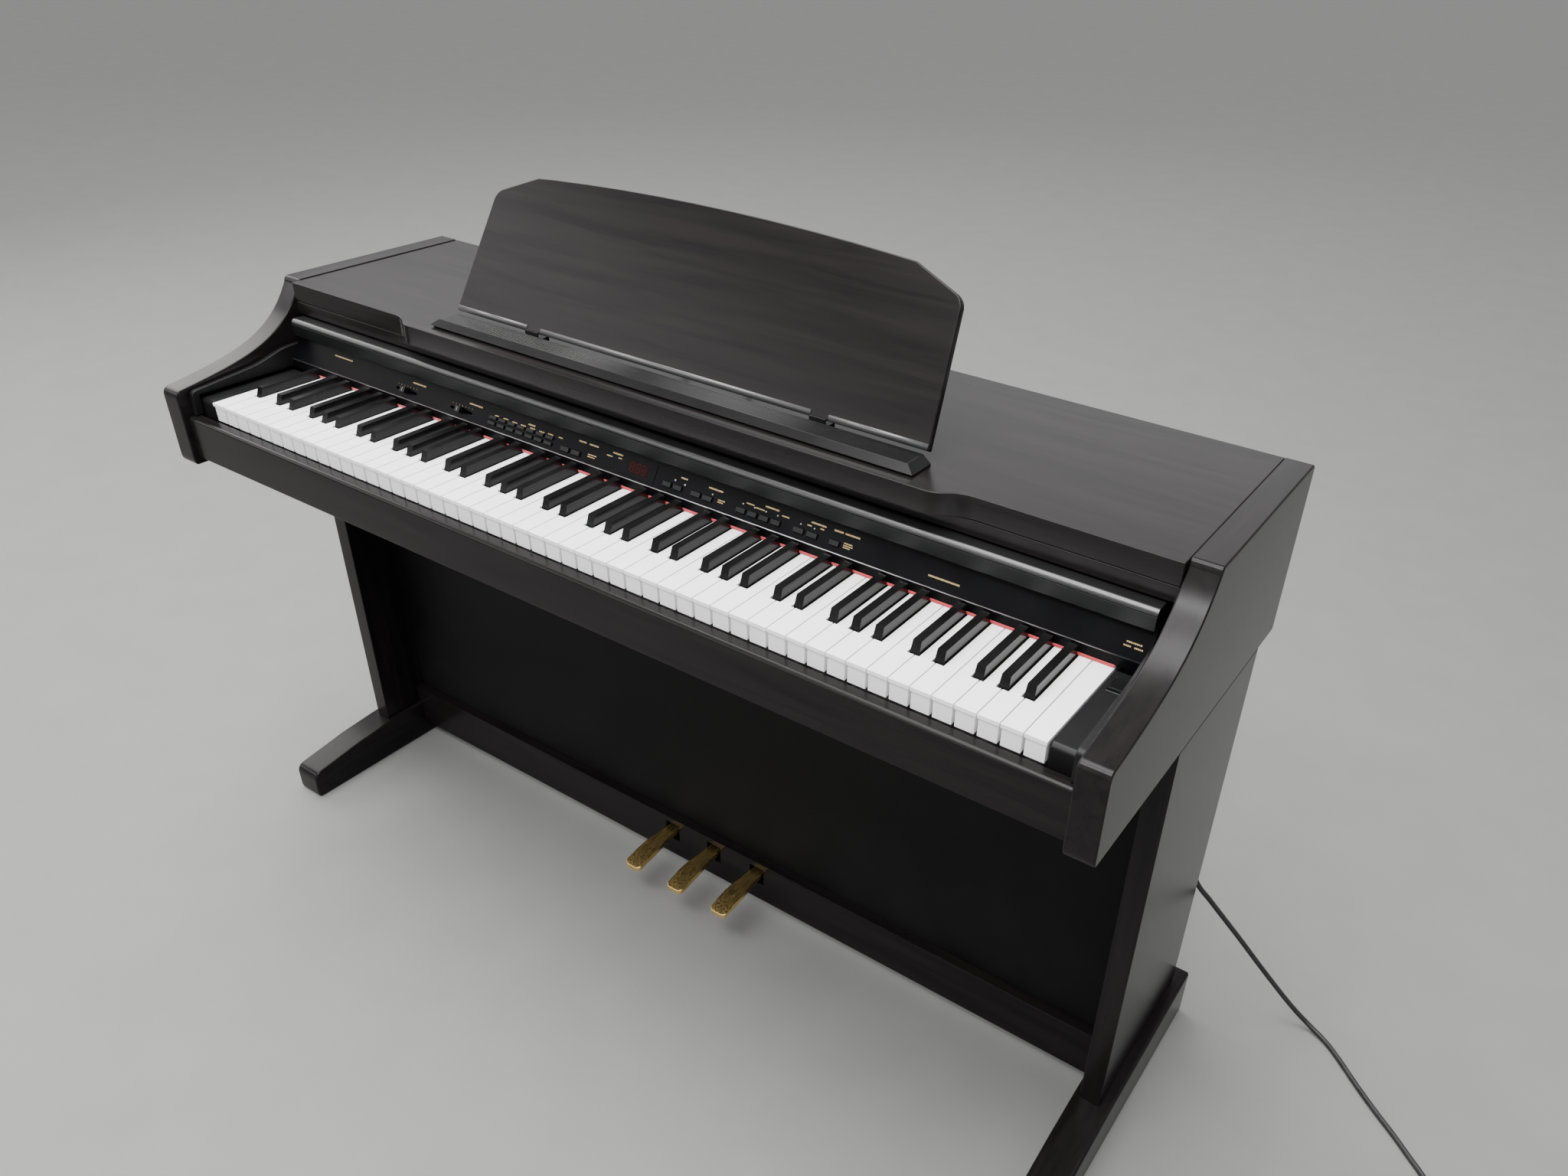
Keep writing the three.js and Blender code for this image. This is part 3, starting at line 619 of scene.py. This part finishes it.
def handle_outlines():
    """The lower lip and the rolled top of the handle, with a fine seam between them."""
    front, back, low, seam, roll = HANDLE.values()
    cut = 0.0004
    lip = [(front + 0.004, low), (front + 0.001, low), (front, low + 0.001), (front, seam - cut)]
    lip += [(front + 0.0062, seam - cut), (front + 0.0042, seam - 0.0102)]
    neck = [(front + 0.0012, seam - cut), (front + 0.0012, seam + cut)]
    neck += [(front + 0.006, seam + cut), (front + 0.006, seam - cut)]
    top = arc((front + roll, seam + cut), roll - cut, 180, 90, 14)
    top += [(back, seam + roll), (back, seam - 0.0024), (front + 0.0082, seam - 0.0063)]
    return {"cover_lip": lip, "cover_seam": neck, "cover_roll": [(front + 0.0062, seam), *top]}


def add_cover_handle():
    low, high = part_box("key_cover_handle")
    for name, outline in handle_outlines().items():
        bm = bmesh.new()
        across_x(bm, outline, low.x, high.x)
        material = "gloss_black" if name == "cover_roll" else "satin_black"
        mesh = to_mesh(name, bm)
        piece = finish_piece(name, mesh, material, "key_cover", ["key_cover_handle"])
        soften(piece, 0.0004, 2)


# ---- Keyboard -----------------------------------------------------------------------

PITCH = 0.023577
WHITE_COUNT = 52
MIDDLE_OCTAVE = 23
KEY = {"front": -0.218, "back": 0.022, "low": 0.684, "top": 0.7086, "gap": 0.0015}
TAIL = {"start": -0.072, "top": 0.700}
BLACK = {"front": -0.169, "back": -0.0775, "top": 0.7206, "width": 0.011, "crown": 0.0095}
BLACK_SKIRT = 0.7035
BLACK_LEVER = {"low": 0.690, "top": 0.7058}
BLACK_OFFSETS = (0.02174, 0.04897, 0.0915, 0.1179, 0.1442)
WHITE_NAMES = ("c4", "d4", "e4", "f4", "g4", "a4", "b4")
BLACK_NAMES = ("c_sharp4", "d_sharp4", "f_sharp4", "g_sharp4", "a_sharp4")


def key_edge(index):
    return (index - WHITE_COUNT / 2) * PITCH


def black_keys():
    """Each black key as (octave's first white key, place in the octave, x)."""
    found = []
    for start in range(-5, WHITE_COUNT, 7):
        for place, offset in enumerate(BLACK_OFFSETS):
            x = key_edge(start) + offset
            if abs(x) < 0.6:
                found.append((start, place, x))
    return found


def white_outline(index, inset, front):
    """A white key from above, narrowed beside the black keys."""
    left = key_edge(index) + KEY["gap"] / 2 + inset
    right = key_edge(index + 1) - KEY["gap"] / 2 - inset
    room = BLACK["width"] / 2 + KEY["gap"] + inset
    notch = BLACK["front"] - KEY["gap"] - inset
    middle = (left + right) / 2
    tail_left = left
    tail_right = right
    for _, _, x in black_keys():
        if left - 0.008 < x < middle:
            tail_left = max(left, x + room)
        if middle < x < right + 0.008:
            tail_right = min(right, x - room)
    points = [(left, front), (right, front)]
    if tail_right < right:
        points += [(right, notch), (tail_right, notch)]
    points += [(tail_right, TAIL["start"]), (tail_left, TAIL["start"])]
    if tail_left > left:
        points += [(tail_left, notch), (left, notch)]
    return points, tail_left, tail_right


def white_key(index, body, node):
    """A capped key: the cap overhangs the body's front by a small lip."""
    lip = 0.0042
    bm = bmesh.new()
    cap, _, _ = white_outline(index, 0, KEY["front"])
    z = KEY["top"] - lip
    prism(bm, [(x, y, z) for x, y in cap], (0, 0, lip))
    bevel_edges(bm, 0.0008, 3)
    trunk = bmesh.new()
    under, left, right = white_outline(index, 0.0009, KEY["front"] + 0.0016)
    prism(trunk, [(x, y, KEY["low"]) for x, y in under], (0, 0, z - KEY["low"]))
    block(trunk, left, right, TAIL["start"], KEY["back"], KEY["low"], TAIL["top"])
    bevel_edges(trunk, 0.0003, 1)
    mesh = bpy.data.meshes.new("trunk")
    trunk.to_mesh(mesh)
    trunk.free()
    bm.from_mesh(mesh)
    bpy.data.meshes.remove(mesh)
    name = f"white_{index:02d}"
    finish_piece(name, to_mesh(name, bm, smooth=False), "white_key", body, [node])


def black_key(number, x, body, node):
    """A tapered cap with a sloped front on its narrow lever."""
    slope = 0.0057
    bm = bmesh.new()
    half = BLACK["width"] / 2
    crown = BLACK["crown"] / 2
    y0, y1 = BLACK["front"], BLACK["back"]
    rows = [
        [(x - half, y0, BLACK_SKIRT), (x + half, y0, BLACK_SKIRT)],
        [(x + half, y1, BLACK_SKIRT), (x - half, y1, BLACK_SKIRT)],
        [(x - crown, y0 + slope, BLACK["top"]), (x + crown, y0 + slope, BLACK["top"])],
        [(x + crown, y1, BLACK["top"]), (x - crown, y1, BLACK["top"])],
    ]
    v = [bm.verts.new(p) for row in rows for p in row]
    for face in [(3, 2, 1, 0), (4, 5, 6, 7), (0, 1, 5, 4), (1, 2, 6, 5), (2, 3, 7, 6), (3, 0, 4, 7)]:
        bm.faces.new([v[i] for i in face])
    bevel_edges(bm, 0.0011, 4)
    lever = half - 0.0004
    levels = (BLACK_LEVER["low"], BLACK_LEVER["top"])
    block(bm, x - lever, x + lever, y0 + 0.0015, KEY["back"], *levels)
    name = f"black_{number:02d}"
    finish_piece(name, to_mesh(name, bm, smooth=False), "black_key", body, [node])


def bank(x_index, colour):
    """The bank of keys that a key outside the middle octave belongs to."""
    side = "bass" if x_index < MIDDLE_OCTAVE else "treble"
    return f"{colour}_keys_{side}"


def add_keys():
    for index in range(WHITE_COUNT):
        place = index - MIDDLE_OCTAVE
        single = 0 <= place < 7
        name = f"key_{WHITE_NAMES[place]}" if single else bank(index, "white")
        white_key(index, name, name)
    for number, (start, place, x) in enumerate(black_keys()):
        single = start == MIDDLE_OCTAVE
        name = f"key_{BLACK_NAMES[place]}" if single else bank(start, "black")
        black_key(number, x, name, name)
    refine("key_felt", "felt", 0.0006, 2)


# ---- Control panel ------------------------------------------------------------------

PANEL = {"y": -0.075, "z": 0.7225, "lean": math.radians(57.5)}


def on_panel(bm):
    """Moves a mesh drawn on the flat (x, up the slope, out of the slope) onto the panel."""
    bm.transform(Matrix.Rotation(PANEL["lean"], 4, "X"))
    bm.transform(Matrix.Translation((0, PANEL["y"], PANEL["z"])))


def panel_plates(name, plates, material, thick=0.00012, edge=0.0):
    """Thin plates on the panel, each (x0, x1, v0, v1) in millimetres."""
    bm = bmesh.new()
    for x0, x1, v0, v1 in plates:
        block(bm, x0 * MM, x1 * MM, v0 * MM, v1 * MM, 0.00002, thick)
    if edge:
        bevel_edges(bm, edge, 2)
    on_panel(bm)
    return finish_piece(name, to_mesh(name, bm, smooth=False), material, "cabinet")


# Generic marks where the printed words are: x from, x to and distance up the slope.
HEADINGS = [
    (-558, -520, 24), (-396, -371, 24), (-287, -263, 22.8), (-181, -169, 22.5),
    (-95, -83, 24), (-78, -63, 24), (-40, -21, 24), (66, 76, 22.5), (107, 128, 22.4),
    (187, 206, 23.4), (249, 269, 23.6), (279, 291, 23.7), (293, 312, 23.7), (400, 437, 12),
]
CAPTIONS = [
    (-239, -232, 19), (-224, -215, 19), (-208, -199, 18.6), (-193, -184, 18.6),
    (-177, -168, 18.8), (-161, -152, 18.8), (-146, -137, 19.4), (-128, -121, 19.6),
    (-48, -39, 19), (-30, -21, 20), (162, 173, 20), (175, 188, 18.4), (211, 221, 19.6),
    (245, 251, 19.5), (262, 267, 20),
]


def marks(rows, letter, height):
    """Each mark as a run of short strokes, like small print seen from afar."""
    plates = []
    for x0, x1, v in rows:
        count = max(2, round((x1 - x0) / letter))
        step = (x1 - x0) / count
        for i in range(count):
            left = x0 + i * step
            tall = height * (1.0 if i % 3 else 0.85)
            plates.append((left, left + step * 0.72, v - tall / 2, v + tall / 2))
    return plates


def add_control_panel():
    """The sloped panel, the silver line along its lower edge, and its print and lights."""
    refine("control_panel", "panel_black", 0.0003, 2)
    low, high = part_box("control_panel")
    edge = bmesh.new()
    front = low.y - 0.0003
    bottom = PANEL["z"] - 0.0004
    block(edge, low.x, high.x, front, front + 0.001, bottom, bottom + 0.001)
    bevel_edges(edge, 0.0002, 2)
    finish_piece("silver_edge", to_mesh("silver_edge", edge), "silver_line", "cabinet")
    panel_plates("panel_headings", marks(HEADINGS, 2.1, 1.9), "label")
    panel_plates("panel_captions", marks(CAPTIONS, 1.7, 1.4), "label")
    lists = [(124, 134, 12.6), (124, 132, 10.2), (295, 306, 14), (295, 307, 11.6), (295, 304, 9.4)]
    lists += [(-76, -62, 12.2), (-76, -64, 9.6)]
    panel_plates("panel_lists", marks(lists, 1.6, 1.2), "label")
    lights = [(58.5, 60.5, 16.5, 18.5), (73.5, 75.5, 15, 17), (114, 115.6, 15.4, 17)]
    lights += [(x - 0.8, x + 0.8, 17.2, 18.6) for x in (158, 174, 190, 206, 237, 255)]
    panel_plates("panel_lights", lights, "white_print", 0.0006, 0.0002)


def add_display():
    """A dark window with three unlit seven-segment digits behind it; a faint red glow is painted on
    the field and digits.
    """
    panel_plates("display_window", [(-24, 30, 3.6, 27.4)], "panel_black", 0.0006, 0.0003)
    panel_plates("display_field", [(-12, 19, 8.5, 22.5)], "display", 0.00068)
    segments = []
    for left in (-9, 0, 9):
        for v in (9.8, 15.1, 20.4):
            segments.append((left + 1, left + 5, v, v + 0.8))
        for x in (left, left + 5.2):
            segments += [(x, x + 0.8, 10.6, 15.0), (x, x + 0.8, 16.0, 20.3)]
    panel_plates("display_digits", segments, "digit", 0.00074)


def add_controls():
    for node in ("sound_buttons", "sequencer_buttons", "effect_buttons"):
        refine(node, "button_black", 0.0005, 2)
    for node in ("volume_slider", "brilliance_slider"):
        refine(node, "black_plastic", 0.0007, 2)
        low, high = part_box(node)
        middle = (low.x + high.x) / 2 / MM
        bm = bmesh.new()
        block(bm, (middle - 0.3) * MM, (middle + 0.3) * MM, 0.0085, 0.0135, 0.0079, 0.0081)
        on_panel(bm)
        name = node + "_mark"
        finish_piece(name, to_mesh(name, bm, smooth=False), "white_print", node)
        scale = [(middle - 18 + 6 * i, middle - 17.6 + 6 * i, 16.2, 17.4) for i in range(7)]
        panel_plates(node + "_scale", scale, "label")


def add_power_switch():
    """The switch's silver frame line, and the printed marks above it on the panel."""
    low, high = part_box("power_button")
    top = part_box("key_block_right")[1].z
    bm = bmesh.new()
    block(bm, low.x - 0.0012, high.x + 0.0012, low.y - 0.0022, low.y - 0.0012, top, top + 0.0003)
    finish_piece("switch_line", to_mesh("switch_line", bm, False), "silver_line", "cabinet")
    words = [(616, 632, 16), (614, 622, 12), (625, 634, 12)]
    panel_plates("power_marks", marks(words, 1.9, 1.6), "label")


# ---- Stand --------------------------------------------------------------------------


def add_pedals():
    for node in ("pedal_soft", "pedal_sostenuto", "pedal_damper"):
        refine(node, "brass", 0.0022, 4)


def add_stand_fittings():
    """Two rows of screws that hold the stand's back panel."""
    low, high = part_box("stand_back_panel")
    spacing = 0.2
    for i in range(7):
        x = (i - 3) * spacing
        screw(f"back_screw_{i}", (x, high.y, high.z - 0.02), (0, 1, 0), 0.004, "cabinet")
        screw(f"rail_screw_{i}", (x, high.y, low.z + 0.03), (0, 1, 0), 0.004, "cabinet")


# ---- Underside and back -------------------------------------------------------------


def add_grilles():
    """Cloth-covered discs in the speaker holes."""
    radius = 0.0595
    for side, x in (("left", -0.48), ("right", 0.48)):
        bm = bmesh.new()
        bmesh.ops.create_cone(
            bm, cap_ends=True, segments=48, radius1=radius, radius2=radius, depth=0.002
        )
        bevel_edges(bm, 0.0006, 2)
        bm.transform(Matrix.Translation((x, 0.14, 0.620)))
        name = f"grille_{side}"
        finish_piece(name, to_mesh(name, bm), "grille", "cabinet")


def add_back_details():
    """The screwed rear panel and its plate of sockets."""
    low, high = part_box("rear_panel")
    inset = 0.03
    drop = 0.014
    for i in range(8):
        x = low.x + inset + (high.x - low.x - 2 * inset) * i / 7
        for row, z in (("low", low.z + drop), ("high", high.z - drop)):
            screw(f"rear_screw_{row}_{i}", (x, high.y, z), (0, 1, 0), 0.0038, "cabinet")
    plate = bmesh.new()
    block(plate, -0.62, -0.44, high.y, high.y + 0.0015, 0.66, 0.715)
    bevel_edges(plate, 0.0005, 2)
    finish_piece("socket_plate", to_mesh("socket_plate", plate), "black_plastic", "cabinet")
    spacing = 0.028
    for i in range(6):
        socket = bmesh.new()
        bmesh.ops.create_cone(
            socket, cap_ends=True, segments=24, radius1=0.0065, radius2=0.006, depth=0.003
        )
        bevel_edges(socket, 0.0004, 2)
        socket.transform(Matrix.Rotation(-math.pi / 2, 4, "X"))
        socket.transform(Matrix.Translation((-0.6 + spacing * i, high.y + 0.003, 0.685)))
        name = f"socket_{i}"
        finish_piece(name, to_mesh(name, socket), "zinc", "cabinet")


# ---- Making -------------------------------------------------------------------------

add_camera()
add_cord()
add_floor()
add_light()
add_casework()
add_rest_ledge()
add_rest_painted_highlight()
add_cover_handle()
add_keys()
add_control_panel()
add_display()
add_controls()
add_power_switch()
add_pedals()
add_stand_fittings()
add_grilles()
add_back_details()
